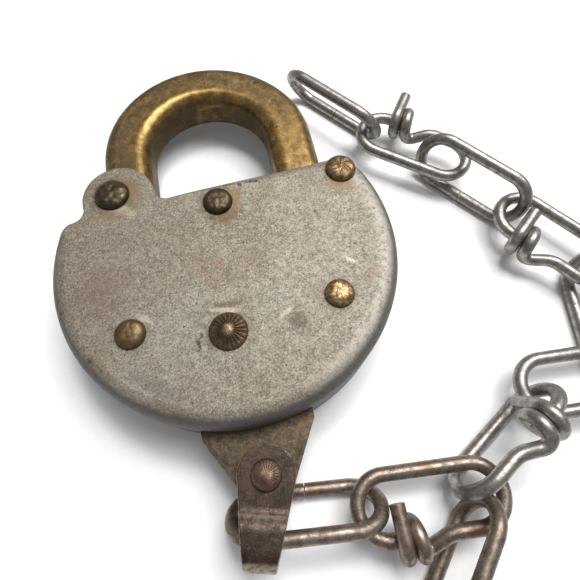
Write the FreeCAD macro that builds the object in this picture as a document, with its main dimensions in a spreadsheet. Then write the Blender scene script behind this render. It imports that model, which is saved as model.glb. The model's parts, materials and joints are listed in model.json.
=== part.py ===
import FreeCAD, Part

import math
import os
import re

import Sketcher

# Old lever padlock with a chain. Millimetres. The origin is on the key post's axis, in the plane
# halfway through the case. +Y runs to the shackle, +Z out of the plain back, and the keyhole is below.
# Places in the sheet are measured from the centre of the round case, which lies at (case_x, case_y).

SIZES = {
    # round case
    "case_x": 1.9,
    "case_y": 16.0,
    "case_radius": 31.75,
    "sheet_thick": 1.6,
    "inner_half": 4.9,
    "face_round": 3.0,
    "top_round": 0.6,
    "top_line_y": 13.76,
    "top_slope": 6.3,
    "ear_x": -18.5,
    "ear_y": 14.8,
    "ear_radius": 6.8,
    "corner_right": 7.0,
    "corner_left": 4.0,
    "ear_inside_corner": 2.4,
    # rivets: places, shanks and domed heads
    "pivot_x": -19.5,
    "pivot_y": 15.1,
    "pivot_radius": 2.2,
    "pivot_head": 3.25,
    "top_rivet_x": 0.0,
    "top_rivet_y": 9.6,
    "corner_rivet_x": 24.6,
    "corner_rivet_y": 12.2,
    "lower_rivet_x": 18.0,
    "lower_rivet_y": -13.2,
    "shank_radius": 1.6,
    "rivet_head": 2.8,
    "corner_rivet_head": 3.0,
    "lower_rivet_head": 2.65,
    "head_height": 1.35,
    "foot_height": 1.8,
    "spacer_radius": 2.4,
    "running_gap": 0.05,
    # shackle
    "bow_y": 25.8,
    "bow_radius": 17.05,
    "bar_width": 9.5,
    "bar_thick": 9.3,
    "bar_round": 2.7,
    "heel_radius": 6.3,
    "toe_end_y": 0.5,
    "toe_sweep": 41.3,
    "notch_low": 3.2,
    "notch_high": 6.8,
    "notch_depth": 4.2,
    "swing_gap": 1.7,
    # bolt, its stump and its spring
    "bolt_low_z": -4.7,
    "bolt_thick": 2.0,
    "bolt_tip_x": 11.7,
    "bolt_top_y": 6.4,
    "bolt_nose_y": 3.6,
    "bolt_right_x": 4.0,
    "bolt_left_x": -14.0,
    "bolt_belly_y": -8.0,
    "fork_left_x": -20.5,
    "fork_right_x": -12.2,
    "fork_low_y": -17.6,
    "talon_left_x": -5.0,
    "talon_right_x": 1.2,
    "talon_top_y": -5.2,
    "stump_x": -1.9,
    "stump_half_x": 0.7,
    "stump_half_y": 1.0,
    "stump_top_z": 3.8,
    "bolt_travel": 3.5,
    "spring_radius": 2.0,
    "spring_wire": 0.4,
    "spring_turns": 7.0,
    "spring_y": -2.0,
    # levers and their leaf springs
    "lever_first_z": -2.4,
    "lever_thick": 1.3,
    "lever_pitch": 1.55,
    "lever_left_x": -8.0,
    "lever_right_x": 6.0,
    "lever_top_y": 4.5,
    "lever_belly_y": -12.3,
    "neck_top_y": -7.5,
    "lever_eye": 4.3,
    "pocket_half_y": 2.1,
    "gate_half_y": 1.2,
    "pocket_play": 0.75,
    "leaf_x": -7.4,
    "leaf_thick": 0.5,
    "leaf_depth": 1.5,
    "leaf_length": 5.6,
    "leaf_rise": 11.0,
    # key post, keyhole and its cover
    "key_x": -1.9,
    "key_y": -16.0,
    "key_pin_radius": 1.5,
    "key_pin_tip_z": -6.2,
    "key_collar_radius": 2.6,
    "key_collar_thick": 1.0,
    "key_head": 3.35,
    "key_head_height": 1.5,
    "keyhole_radius": 3.3,
    "keyhole_slot_half": 1.3,
    "keyhole_reach": 8.5,
    "cover_pivot_y": -2.0,
    "cover_thick": 0.95,
    "cover_gap": 0.1,
    "cover_top_radius": 3.3,
    "cover_radius": 5.2,
    "cover_half": 4.0,
    "cover_pin_radius": 1.2,
    "cover_head": 2.2,
    "cover_head_height": 0.55,
    # hanger plate, clevis and its rivet
    "hanger_half": 1.0,
    "hanger_wide": 9.5,
    "hanger_neck_y": -31.9,
    "hanger_step_y": -27.6,
    "hanger_top_y": -25.4,
    "hanger_ear_x": 11.6,
    "hanger_tip": 4.75,
    "hang_y": -39.1,
    "clevis_lean": -15.0,
    "strap_thick": 1.5,
    "strap_side_gap": 0.1,
    "strap_width": 9.5,
    "strap_end_width": 4.5,
    "strap_length": 13.7,
    "strap_kink": 5.4,
    "eye_half": 2.3,
    "clevis_pin_radius": 1.8,
    "clevis_head": 2.5,
    "clevis_head_height": 1.3,
    # chain of bent wire links
    "wire_radius": 1.25,
    "link_length": 27.0,
    "link_width": 12.4,
    "coil_pitch": 2.64,
    "knot_from_end": 6.0,
    "stub_length": 5.5,
    "butt_gap": 0.2,
    "flat_link_z": -3.42,
}

# Each link of the chain as it lies: centre, lift off its resting height, heading and roll about its
# length, and how its wire closes.
# A knotted link has its knot at the end nearer the clevis ("near") or further along ("far"). A butted
# link's wire ends just meet on one side. side and bend pick the knot's leg and where its stub points.
LINKS = [
    dict(label="chain_link_1", x=5.2, y=-46.06, lift=0.0, heading=-6.2, roll=-51.5,
         closed="butt", side=-1, bend=1),
    dict(label="chain_link_2", x=25.58, y=-48.56, lift=0.53, heading=-4.5, roll=0.0,
         closed="near", side=1, bend=1),
    dict(label="chain_link_3", x=41.27, y=-41.9, lift=0.0, heading=30.9, roll=-73.6,
         closed="far", side=1, bend=1),
    dict(label="chain_link_4", x=59.94, y=-35.3, lift=0.13, heading=-3.3, roll=0.0,
         closed="butt", side=1, bend=1),
    dict(label="chain_link_5", x=69.41, y=-24.4, lift=0.07, heading=81.0, roll=-53.0,
         closed="butt", side=1, bend=1),
    dict(label="chain_link_6", x=66.65, y=-6.73, lift=0.3, heading=127.0, roll=0.0,
         closed="far", side=-1, bend=1),
    dict(label="chain_link_7", x=54.6, y=10.36, lift=0.0, heading=129.1, roll=-68.6,
         closed="butt", side=-1, bend=1),
    dict(label="chain_link_8", x=45.1, y=21.85, lift=0.46, heading=142.4, roll=0.0,
         closed="far", side=1, bend=-1),
    dict(label="chain_link_9", x=30.1, y=36.9, lift=0.0, heading=129.1, roll=68.0,
         closed="butt", side=1, bend=1),
    dict(label="chain_tail_link", x=26.11, y=-59.33, lift=0.0, heading=228.1, roll=74.6,
         closed="butt", side=-1, bend=1),
]

LEVER_COUNT = 4

doc = FreeCAD.newDocument("ChainLock")
sheet = doc.addObject("Spreadsheet::Sheet", "Sizes")
for row, (alias, number) in enumerate(SIZES.items(), start=1):
    sheet.set(f"A{row}", alias)
    sheet.set(f"B{row}", str(number))
    sheet.setAlias(f"B{row}", alias)
doc.recompute()

sub_parts = []


def size(alias):
    """A driving dimension, read back from the sheet."""
    return float(sheet.get(alias))


def bind(part, name, formula):
    """Tie a property to a formula written in the sheet's own words."""
    part.setExpression(name, re.sub(r"[a-z]+(?:_[a-z]+)+", r"Sizes.\g<0>", formula))


def place(part, x, y, z):
    """Put a piece at a place measured from the case's centre."""
    bind(part, "Placement.Base.x", f"case_x + ({x})")
    bind(part, "Placement.Base.y", f"case_y + ({y})")
    bind(part, "Placement.Base.z", z)


def keep(part, label):
    """Name a finished sub-part and remember it for writing."""
    part.Label = label
    sub_parts.append(part)
    return part


def cylinder(name, radius, x, y, low, high):
    part = doc.addObject("Part::Cylinder", name)
    bind(part, "Radius", radius)
    bind(part, "Height", f"({high}) - ({low})")
    place(part, x, y, low)
    return part


def block(name, left, right, bottom, top, low, high):
    part = doc.addObject("Part::Box", name)
    bind(part, "Length", f"({right}) - ({left})")
    bind(part, "Width", f"({top}) - ({bottom})")
    bind(part, "Height", f"({high}) - ({low})")
    place(part, left, bottom, low)
    return part


def dome(name, radius, height, x, y, z, up=True):
    """A rivet's rounded head: a slice of a ball that is radius wide and height tall."""
    ball = f"((({radius})^2 + ({height})^2) / (2 * ({height})))"
    part = doc.addObject("Part::Sphere", name)
    bind(part, "Radius", ball)
    bind(part, "Angle1", f"asin(({ball} - ({height})) / {ball})")
    drop = f"({ball} - ({height}))"
    if up:
        place(part, x, y, f"({z}) - {drop}")
    else:
        part.Placement.Rotation = FreeCAD.Rotation(FreeCAD.Vector(1, 0, 0), 180)
        place(part, x, y, f"({z}) + {drop}")
    return part


def fuse(name, shapes):
    part = doc.addObject("Part::MultiFuse", name)
    part.Shapes = shapes
    part.Refine = True
    return part


def cut(name, base, tools):
    part = doc.addObject("Part::Cut", name)
    part.Base = base
    part.Tool = tools[0] if len(tools) == 1 else fuse(f"{name}_tools", tools)
    part.Refine = True
    return part


def edge_near(shape, x, y, z):
    """The number of the edge whose middle is nearest to a point."""
    goal = FreeCAD.Vector(x + size("case_x"), y + size("case_y"), z)

    def gap(edge):
        return edge.valueAt((edge.FirstParameter + edge.LastParameter) / 2).distanceToPoint(goal)

    return 1 + min(range(len(shape.Edges)), key=lambda number: gap(shape.Edges[number]))


def case_slab(name, inset, low, high):
    """The case's outline as a slab: a disc with a slanted flat top, and the shackle's ear beside it."""
    disc = cylinder(f"{name}_disc", f"case_radius - {inset}", "0", "0", low, high)
    half = doc.addObject("Part::Box", f"{name}_half")
    bind(half, "Length", "4 * case_radius")
    bind(half, "Width", "2 * case_radius")
    bind(half, "Height", f"({high}) - ({low})")
    down = f"(2 * case_radius + {inset})"
    place(
        half,
        f"{down} * sin(top_slope) - 2 * case_radius * cos(top_slope)",
        f"top_line_y - {down} * cos(top_slope) - 2 * case_radius * sin(top_slope)",
        low,
    )
    bind(half, "Placement.Rotation.Angle", "top_slope")
    flat = doc.addObject("Part::MultiCommon", f"{name}_flat")
    flat.Shapes = [disc, half]
    ear = cylinder(f"{name}_ear", f"ear_radius - {inset}", "ear_x", "ear_y", low, high)
    slab = fuse(f"{name}_sharp", [flat, ear])
    doc.recompute()

    shift = float(inset) if inset == "0" else size(inset)
    slope = math.radians(size("top_slope"))
    radius = size("case_radius") - shift
    line_y = size("top_line_y") - shift / math.cos(slope)
    foot = line_y * math.cos(slope)
    reach = math.sqrt(radius**2 - foot**2)
    ear_foot = foot - size("ear_y") * math.cos(slope) + size("ear_x") * math.sin(slope)
    ear_along = size("ear_x") * math.cos(slope) + size("ear_y") * math.sin(slope)
    ear_reach = math.sqrt((size("ear_radius") - shift) ** 2 - ear_foot**2)
    inside = size("ear_inside_corner") + shift
    corners = [
        (reach, size("corner_right") - shift),
        (-reach, size("corner_left") - shift),
        (ear_along + ear_reach, inside),
        (ear_along - ear_reach, inside),
    ]
    middle = (slab.Shape.BoundBox.ZMin + slab.Shape.BoundBox.ZMax) / 2
    edges = []
    for along, rounding in corners:
        x = along * math.cos(slope) - foot * math.sin(slope)
        y = along * math.sin(slope) + foot * math.cos(slope)
        edges.append((edge_near(slab.Shape, x, y, middle), rounding, rounding))
    rounded = doc.addObject("Part::Fillet", f"{name}_rounded")
    rounded.Base = slab
    rounded.Edges = edges
    doc.recompute()
    return rounded


OUTER_LOW = "-inner_half - sheet_thick"
OUTER_HIGH = "inner_half + sheet_thick"

# The four through rivets that hold the case together: where each stands and how wide its head is.
CASE_RIVETS = {
    "top_middle": ("top_rivet_x", "top_rivet_y", "rivet_head"),
    "top_right": ("corner_rivet_x", "corner_rivet_y", "corner_rivet_head"),
    "lower_left": ("-lower_rivet_x", "lower_rivet_y", "lower_rivet_head"),
    "lower_right": ("lower_rivet_x", "lower_rivet_y", "lower_rivet_head"),
}


def rivet_holes(name, low, high):
    """Holes through one wall of the case for the rivets and the shackle's pivot."""
    holes = [cylinder(f"{name}_hole_pivot", "pivot_radius", "pivot_x", "pivot_y", low, high)]
    for place_name, (x, y, _) in CASE_RIVETS.items():
        holes.append(cylinder(f"{name}_hole_{place_name}", "shank_radius", x, y, low, high))
    return holes


def make_back_case():
    """The drawn steel cup: plain face, rounded edge, rim with openings for shackle and hanger."""
    cup = case_slab("cup", "0", "-inner_half", OUTER_HIGH)
    high = size("inner_half") + size("sheet_thick")
    broad, narrow = size("face_round"), size("top_round")
    centre = FreeCAD.Vector(size("case_x"), size("case_y"), high)
    slope = math.radians(size("top_slope"))
    up = FreeCAD.Vector(-math.sin(slope), math.cos(slope), 0)
    top_line = size("top_line_y") * math.cos(slope)
    edges = []
    for number, edge in enumerate(cup.Shape.Edges, start=1):
        ends = [vertex.Point for vertex in edge.Vertexes]
        if any(abs(end.z - high) > 0.01 for end in ends):
            continue
        radii = []
        for parameter in (edge.FirstParameter, edge.LastParameter):
            along = (edge.valueAt(parameter) - centre).dot(up)
            radii.append(narrow if along > top_line - 0.5 else broad)
        edges.append((number, radii[0], radii[1]))
    rounded = doc.addObject("Part::Fillet", "cup_face_rounded")
    rounded.Base = cup
    rounded.Edges = edges
    doc.recompute()

    cavity = case_slab("cavity", "sheet_thick", "-inner_half", "inner_half")
    ear_mouth = cylinder(
        "ear_mouth", "heel_radius + swing_gap", "pivot_x", "pivot_y", "-inner_half", "inner_half"
    )
    toe_mouth = block(
        "toe_mouth",
        "bow_radius - bar_width / 2 - 0.3",
        "bow_radius + bar_width / 2 + 0.3",
        "notch_high",
        "top_line_y + sheet_thick + 3",
        "-inner_half",
        "inner_half",
    )
    hanger_mouth = block(
        "hanger_mouth",
        "-hanger_wide - 0.1",
        "hanger_wide + 0.1",
        "-case_radius - 1",
        "hanger_step_y",
        "-hanger_half - 0.05",
        "hanger_half + 0.05",
    )
    key_hole = cylinder("case_key_hole", "key_collar_radius - 0.6", "key_x", "key_y", "0", OUTER_HIGH)
    holes = rivet_holes("case", "0", OUTER_HIGH)
    tools = [cavity, ear_mouth, toe_mouth, hanger_mouth, key_hole] + holes
    keep(cut("back_case", rounded, tools), "back_case")


def make_front_plate():
    """The flat plate that closes the cup, with the keyhole."""
    slab = case_slab("plate", "0", OUTER_LOW, "-inner_half")
    round_hole = cylinder("keyhole_round", "keyhole_radius", "key_x", "key_y", OUTER_LOW, "-inner_half")
    slot = block(
        "keyhole_slot",
        "key_x - keyhole_slot_half",
        "key_x + keyhole_slot_half",
        "key_y",
        "key_y + keyhole_reach",
        OUTER_LOW,
        "-inner_half",
    )
    cover_hole = cylinder(
        "plate_cover_hole", "cover_pin_radius", "key_x", "cover_pivot_y", OUTER_LOW, "-inner_half"
    )
    holes = rivet_holes("plate", OUTER_LOW, "-inner_half")
    keep(cut("front_plate", slab, [round_hole, slot, cover_hole] + holes), "front_plate")


def make_rivet(label, shank, head, x, y):
    """A through rivet: straight shank, a domed head outside each wall of the case."""
    body = cylinder(f"{label}_shank", shank, x, y, OUTER_LOW, OUTER_HIGH)
    upper = dome(f"{label}_upper", head, "head_height", x, y, OUTER_HIGH)
    lower = dome(f"{label}_lower", f"{head} - 0.15", "foot_height", x, y, OUTER_LOW, up=False)
    keep(fuse(label, [body, upper, lower]), label)


def make_spacer(label, x, y):
    """The tube round a case rivet that keeps the two walls apart."""
    tube = cylinder(f"{label}_tube", "spacer_radius", x, y, "-inner_half", "inner_half")
    bore = cylinder(f"{label}_bore", "shank_radius", x, y, "-inner_half", "inner_half")
    keep(cut(label, tube, [bore]), label)


def make_key_post():
    """The post that a barrel key slides over, riveted through the back with a broad head."""
    head = dome("key_head", "key_head", "key_head_height", "key_x", "key_y", OUTER_HIGH)
    neck = cylinder(
        "key_neck", "key_collar_radius - 0.6", "key_x", "key_y", "inner_half", OUTER_HIGH
    )
    collar = cylinder(
        "key_collar", "key_collar_radius", "key_x", "key_y", "inner_half - key_collar_thick", "inner_half"
    )
    pin = cylinder(
        "key_pin", "key_pin_radius", "key_x", "key_y", "key_pin_tip_z", "inner_half - key_collar_thick"
    )
    keep(fuse("key_post", [head, neck, collar, pin]), "key_post")


def make_shackle():
    """The brass bow: a rounded bar bent round a half circle, a heel eye and a notched toe."""
    spine_x = size("bow_radius")
    corners = [
        FreeCAD.Vector(-spine_x, size("pivot_y"), 0),
        FreeCAD.Vector(-spine_x, size("bow_y"), 0),
        FreeCAD.Vector(0, size("bow_y") + spine_x, 0),
        FreeCAD.Vector(spine_x, size("bow_y"), 0),
        FreeCAD.Vector(spine_x, size("toe_end_y"), 0),
    ]
    spine = Part.Wire(
        [
            Part.makeLine(corners[0], corners[1]),
            Part.Arc(corners[1], corners[2], corners[3]).toShape(),
            Part.makeLine(corners[3], corners[4]),
        ]
    )
    half_wide, half_thick = size("bar_width") / 2, size("bar_thick") / 2
    section_box = Part.makeBox(
        2 * half_wide, 1, 2 * half_thick, FreeCAD.Vector(-spine_x - half_wide, size("pivot_y"), -half_thick)
    )
    along = [edge for edge in section_box.Edges if abs(edge.tangentAt(edge.FirstParameter).y) > 0.5]
    rounded_box = section_box.makeFillet(size("bar_round"), along)
    ends = [face for face in rounded_box.Faces if face.CenterOfMass.y < size("pivot_y") + 0.01]
    section = min(ends, key=lambda face: face.CenterOfMass.y).OuterWire
    bar = doc.addObject("Part::Feature", "shackle_bar")
    bar.Shape = spine.makePipeShell([section], True, False)
    bar.Placement.Base = FreeCAD.Vector(size("case_x"), size("case_y"), 0)

    thick = "bar_thick / 2"
    heel = cylinder("heel", "heel_radius", "pivot_x", "pivot_y", f"-{thick}", thick)
    blank = fuse("shackle_blank", [bar, heel])
    eye_radius = "pivot_radius + running_gap"
    eye = cylinder("heel_eye", eye_radius, "pivot_x", "pivot_y", "-inner_half", "inner_half")
    notch = block(
        "toe_notch",
        "bow_radius - bar_width / 2 - 1",
        "bow_radius - bar_width / 2 + notch_depth",
        "notch_low",
        "notch_high",
        "-inner_half",
        "inner_half",
    )
    beyond = block(
        "toe_beyond",
        "bow_radius",
        "bow_radius + bar_width",
        "toe_end_y - 1",
        "pivot_y",
        "-inner_half",
        "inner_half",
    )
    sweep = cylinder("toe_sweep_disc", "toe_sweep", "pivot_x", "pivot_y", "-inner_half - 1", "inner_half + 1")
    trim = cut("toe_trim", beyond, [sweep])
    keep(cut("shackle", blank, [eye, notch, trim]), "shackle")


def sketched_plate(label, outline, low, high):
    """A flat plate: a closed outline of straight lines, each corner tied to the sheet, padded up."""
    body = doc.addObject("PartDesign::Body", label)
    place(body, "0", "0", low)
    sketch = body.newObject("Sketcher::SketchObject", f"{label}_outline")
    plane = [item for item in body.Origin.OriginFeatures if item.Role == "XY_Plane"][0]
    sketch.AttachmentSupport = (plane, [""])
    sketch.MapMode = "FlatFace"
    doc.recompute()
    corners = [FreeCAD.Vector(evaluate(x), evaluate(y), 0) for x, y in outline]
    count = len(corners)
    for number in range(count):
        sketch.addGeometry(Part.LineSegment(corners[number], corners[(number + 1) % count]), False)
    for number in range(count):
        sketch.addConstraint(Sketcher.Constraint("Coincident", number, 2, (number + 1) % count, 1))
    for number, (x, y) in enumerate(outline):
        corner = corners[number]
        for kind, formula, value in (("DistanceX", x, corner.x), ("DistanceY", y, corner.y)):
            index = sketch.addConstraint(Sketcher.Constraint(kind, -1, 1, number, 1, value))
            bind(sketch, f"Constraints[{index}]", formula)
    pad = body.newObject("PartDesign::Pad", f"{label}_pad")
    pad.Profile = sketch
    bind(pad, "Length", f"({high}) - ({low})")
    return body


def evaluate(formula):
    """The number that a formula in the sheet's words comes to."""
    probe = re.sub(r"[a-z]+(?:_[a-z]+)+", lambda found: repr(size(found.group())), formula)
    return float(FreeCAD.Units.Quantity(probe).Value)


def make_bolt():
    """The sliding bolt: nose to the toe's notch, talon over the key, forked tail on the left post."""
    outline = [
        ("bolt_tip_x", "bolt_nose_y"),
        ("bolt_tip_x", "bolt_top_y"),
        ("bolt_left_x", "bolt_top_y"),
        ("bolt_left_x", "bolt_belly_y"),
        ("fork_left_x", "bolt_belly_y"),
        ("fork_left_x", "fork_low_y"),
        ("fork_right_x", "fork_low_y"),
        ("fork_right_x", "bolt_belly_y"),
        ("talon_left_x", "bolt_belly_y"),
        ("talon_left_x", "talon_top_y"),
        ("talon_right_x", "talon_top_y"),
        ("talon_right_x", "bolt_belly_y"),
        ("bolt_right_x", "bolt_belly_y"),
        ("bolt_right_x", "bolt_nose_y"),
    ]
    high = "bolt_low_z + bolt_thick"
    plate = sketched_plate("bolt_plate", outline, "bolt_low_z", high)
    fork_gap = "spacer_radius + 0.15"
    slot = block(
        "bolt_fork_slot",
        "fork_left_x - 1",
        "-lower_rivet_x",
        f"lower_rivet_y - ({fork_gap})",
        f"lower_rivet_y + {fork_gap}",
        "bolt_low_z",
        high,
    )
    slot_end = cylinder("bolt_fork_end", fork_gap, "-lower_rivet_x", "lower_rivet_y", "bolt_low_z", high)
    keep(cut("bolt", plate, [slot, slot_end]), "bolt")
    keep(
        block(
            "bolt_stump",
            "stump_x - stump_half_x",
            "stump_x + stump_half_x",
            "-stump_half_y",
            "stump_half_y",
            high,
            "stump_top_z",
        ),
        "bolt_stump",
    )


def make_bolt_spring():
    """The coil spring between the case's left wall and the bolt."""
    radius, wire = size("spring_radius"), size("spring_wire")
    left = -math.sqrt((size("case_radius") - size("sheet_thick")) ** 2 - (radius + wire + 2) ** 2) + 0.6
    length = size("bolt_left_x") - wire - 0.05 - left
    pitch = length / size("spring_turns")
    spine = Part.makeHelix(pitch, length, radius)
    start = FreeCAD.Vector(radius, 0, 0)
    climb = pitch / (2 * math.pi)
    section = Part.Wire(Part.makeCircle(wire, start, FreeCAD.Vector(0, radius, climb)))
    coil = Part.Wire(spine).makePipeShell([section], True, True)
    spring = doc.addObject("Part::Feature", "bolt_spring")
    spring.Shape = coil
    place_at = FreeCAD.Vector(
        size("case_x") + left, size("case_y") + size("spring_y"), size("bolt_low_z") + radius + wire
    )
    spring.Placement = FreeCAD.Placement(place_at, FreeCAD.Rotation(FreeCAD.Vector(0, 1, 0), 90))
    keep(spring, "bolt_spring")


def make_lever(number):
    """A lever: eye on the right post, belly over the key, and an H-shaped window for the stump."""
    label = f"lever_{number}"
    low = f"lever_first_z + {number - 1} * lever_pitch"
    high = f"{low} + lever_thick"
    main = block(
        f"{label}_main", "lever_left_x", "lever_right_x", "lever_belly_y", "lever_top_y", low, high
    )
    neck = block(f"{label}_neck", "lever_right_x", "lower_rivet_x", "lower_rivet_y", "neck_top_y", low, high)
    eye = cylinder(f"{label}_eye", "lever_eye", "lower_rivet_x", "lower_rivet_y", low, high)
    bore = cylinder(
        f"{label}_bore", "spacer_radius + running_gap", "lower_rivet_x", "lower_rivet_y", low, high
    )
    windows = []
    for place_name, centre in (("rear", "stump_x"), ("fore", "stump_x + bolt_travel")):
        windows.append(
            block(
                f"{label}_{place_name}",
                f"{centre} - stump_half_x - pocket_play",
                f"{centre} + stump_half_x + pocket_play",
                "-pocket_half_y",
                "pocket_half_y",
                low,
                high,
            )
        )
    windows.append(
        block(f"{label}_gate", "stump_x", "stump_x + bolt_travel", "-gate_half_y", "gate_half_y", low, high)
    )
    leaf_slot = block(
        f"{label}_leaf_slot",
        "leaf_x",
        "leaf_x + leaf_thick",
        "lever_top_y - leaf_depth",
        "lever_top_y",
        low,
        high,
    )
    blank = fuse(f"{label}_blank", [main, neck, eye])
    keep(cut(label, blank, [bore, leaf_slot] + windows), label)

    root = block(
        f"{label}_leaf_root",
        "leaf_x",
        "leaf_x + leaf_thick",
        "lever_top_y - leaf_depth",
        "lever_top_y + 0.4",
        low,
        high,
    )
    blade = doc.addObject("Part::Box", f"{label}_leaf_blade")
    bind(blade, "Length", "leaf_length")
    bind(blade, "Width", "leaf_thick")
    bind(blade, "Height", "lever_thick")
    place(blade, "leaf_x", "lever_top_y + 0.1", low)
    bind(blade, "Placement.Rotation.Angle", "leaf_rise")
    keep(fuse(f"lever_spring_{number}", [root, blade]), f"lever_spring_{number}")


def make_key_cover():
    """The drop cover over the keyhole and the rivet it swings on."""
    low = f"{OUTER_LOW} - cover_gap - cover_thick"
    high = f"{OUTER_LOW} - cover_gap"
    top = cylinder("cover_top", "cover_top_radius", "key_x", "cover_pivot_y", low, high)
    lobe = cylinder("cover_lobe", "cover_radius", "key_x", "key_y", low, high)
    web_low_x, web_high_x = "key_x - cover_top_radius", "key_x + cover_top_radius"
    web = block("cover_web", web_low_x, web_high_x, "key_y", "cover_pivot_y", low, high)
    bore = cylinder("cover_bore", "cover_pin_radius + running_gap", "key_x", "cover_pivot_y", low, high)
    keep(cut("key_cover", fuse("cover_blank", [top, lobe, web]), [bore]), "key_cover")

    head_high = f"{low} - cover_gap"
    pin = cylinder("cover_pin", "cover_pin_radius", "key_x", "cover_pivot_y", head_high, "-inner_half")
    head = dome(
        "cover_pin_head", "cover_head", "cover_head_height", "key_x", "cover_pivot_y", head_high, up=False
    )
    keep(fuse("cover_rivet", [pin, head]), "cover_rivet")


def make_hanger_plate():
    """The plate that carries the chain: held inside the rim by two ears, tapering to a rounded tip."""
    taper_y = "hang_y - hanger_tip * 0.35"
    tip_x = "hanger_tip * 0.94"
    outline = [
        ("hanger_ear_x", "hanger_step_y"),
        ("hanger_ear_x", "hanger_top_y"),
        ("-hanger_ear_x", "hanger_top_y"),
        ("-hanger_ear_x", "hanger_step_y"),
        ("-hanger_wide", "hanger_step_y"),
        ("-hanger_wide", "hanger_neck_y"),
        (f"-{tip_x}", taper_y),
        (tip_x, taper_y),
        ("hanger_wide", "hanger_neck_y"),
        ("hanger_wide", "hanger_step_y"),
    ]
    plate = sketched_plate("hanger_blank", outline, "-hanger_half", "hanger_half")
    tip = cylinder("hanger_tip_disc", "hanger_tip", "0", "hang_y", "-hanger_half", "hanger_half")
    bore = cylinder(
        "hanger_bore", "clevis_pin_radius + running_gap", "0", "hang_y", "-hanger_half", "hanger_half"
    )
    keep(cut("hanger_plate", fuse("hanger_full", [plate, tip]), [bore]), "hanger_plate")


def rounded_path(corners, radius):
    """A wire of straight runs joined by tangent arcs, each as large as its runs and radius allow."""
    edges = []
    start = corners[0]
    last = len(corners) - 1
    for number in range(1, last):
        corner = corners[number]
        back = corners[number - 1] - corner
        ahead = corners[number + 1] - corner
        room_back = back.Length / (1 if number == 1 else 2)
        room_ahead = ahead.Length / (1 if number == last - 1 else 2)
        turn = math.pi - back.getAngle(ahead)
        reach = min(radius * math.tan(turn / 2), room_back, room_ahead)
        enter = corner + back.normalize() * reach
        leave = corner + ahead.normalize() * reach
        bend = reach / math.tan(turn / 2)
        inward = (back + ahead).normalize()
        middle = corner + inward * (bend / math.cos(turn / 2) - bend)
        if start.distanceToPoint(enter) > 1e-4:
            edges.append(Part.makeLine(start, enter))
        edges.append(Part.Arc(enter, middle, leave).toShape())
        start = leave
    edges.append(Part.makeLine(start, corners[last]))
    return Part.Wire(edges)


def make_clevis():
    """The strap folded under the hanger's tip and bulged below it for the chain, and its rivet."""
    thick = size("strap_thick")
    ear_z = size("hanger_half") + size("strap_side_gap") + thick / 2
    eye_z = size("eye_half") + thick / 2
    kink = size("strap_kink")
    low = -size("strap_length") + thick / 2
    top = size("strap_width") / 2
    side = [(top, ear_z), (-kink, ear_z), (-kink - 1.6, eye_z), (low, eye_z)]
    line = side + [(y, -z) for y, z in reversed(side)]
    corners = [FreeCAD.Vector(0, y, z) for y, z in line]
    spine = rounded_path(corners, eye_z)
    half = size("strap_width") / 2
    section = Part.makePolygon(
        [
            FreeCAD.Vector(sign_x * half, top, ear_z + sign_z * thick / 2)
            for sign_x, sign_z in ((-1, -1), (1, -1), (1, 1), (-1, 1), (-1, -1))
        ]
    )
    strap = spine.makePipeShell([section], True, False)
    depth = 2 * (eye_z + thick)
    end_half = size("strap_end_width") / 2
    bottom = -size("strap_length") - 1
    shoulder = -0.2 * half
    face = Part.Face(
        Part.makePolygon(
            [
                FreeCAD.Vector(x, y, -depth / 2)
                for x, y in (
                    (-half * 0.98, shoulder),
                    (-end_half, bottom),
                    (end_half, bottom),
                    (half * 0.98, shoulder),
                    (-half * 0.98, shoulder),
                )
            ]
        )
    )
    lobe = Part.makeCylinder(half, depth, FreeCAD.Vector(0, 0, -depth / 2))
    mask = face.extrude(FreeCAD.Vector(0, 0, depth)).fuse(lobe)
    bore = Part.makeCylinder(size("clevis_pin_radius"), depth, FreeCAD.Vector(0, 0, -depth / 2))
    clevis = doc.addObject("Part::Feature", "clevis")
    clevis.Shape = strap.common(mask).cut(bore).removeSplitter()
    turn = FreeCAD.Rotation(FreeCAD.Vector(0, 0, 1), size("clevis_lean"))
    spot = FreeCAD.Vector(size("case_x"), size("case_y") + size("hang_y"), 0)
    clevis.Placement = FreeCAD.Placement(spot, turn)
    keep(clevis, "clevis")

    outside = "hanger_half + strap_side_gap + strap_thick"
    pin = cylinder("clevis_pin", "clevis_pin_radius", "0", "hang_y", f"-({outside})", outside)
    upper = dome("clevis_pin_upper", "clevis_head", "clevis_head_height", "0", "hang_y", outside)
    lower = dome(
        "clevis_pin_lower", "clevis_head", "clevis_head_height", "0", "hang_y", f"-({outside})", up=False
    )
    keep(fuse("clevis_rivet", [pin, upper, lower]), "clevis_rivet")


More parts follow.
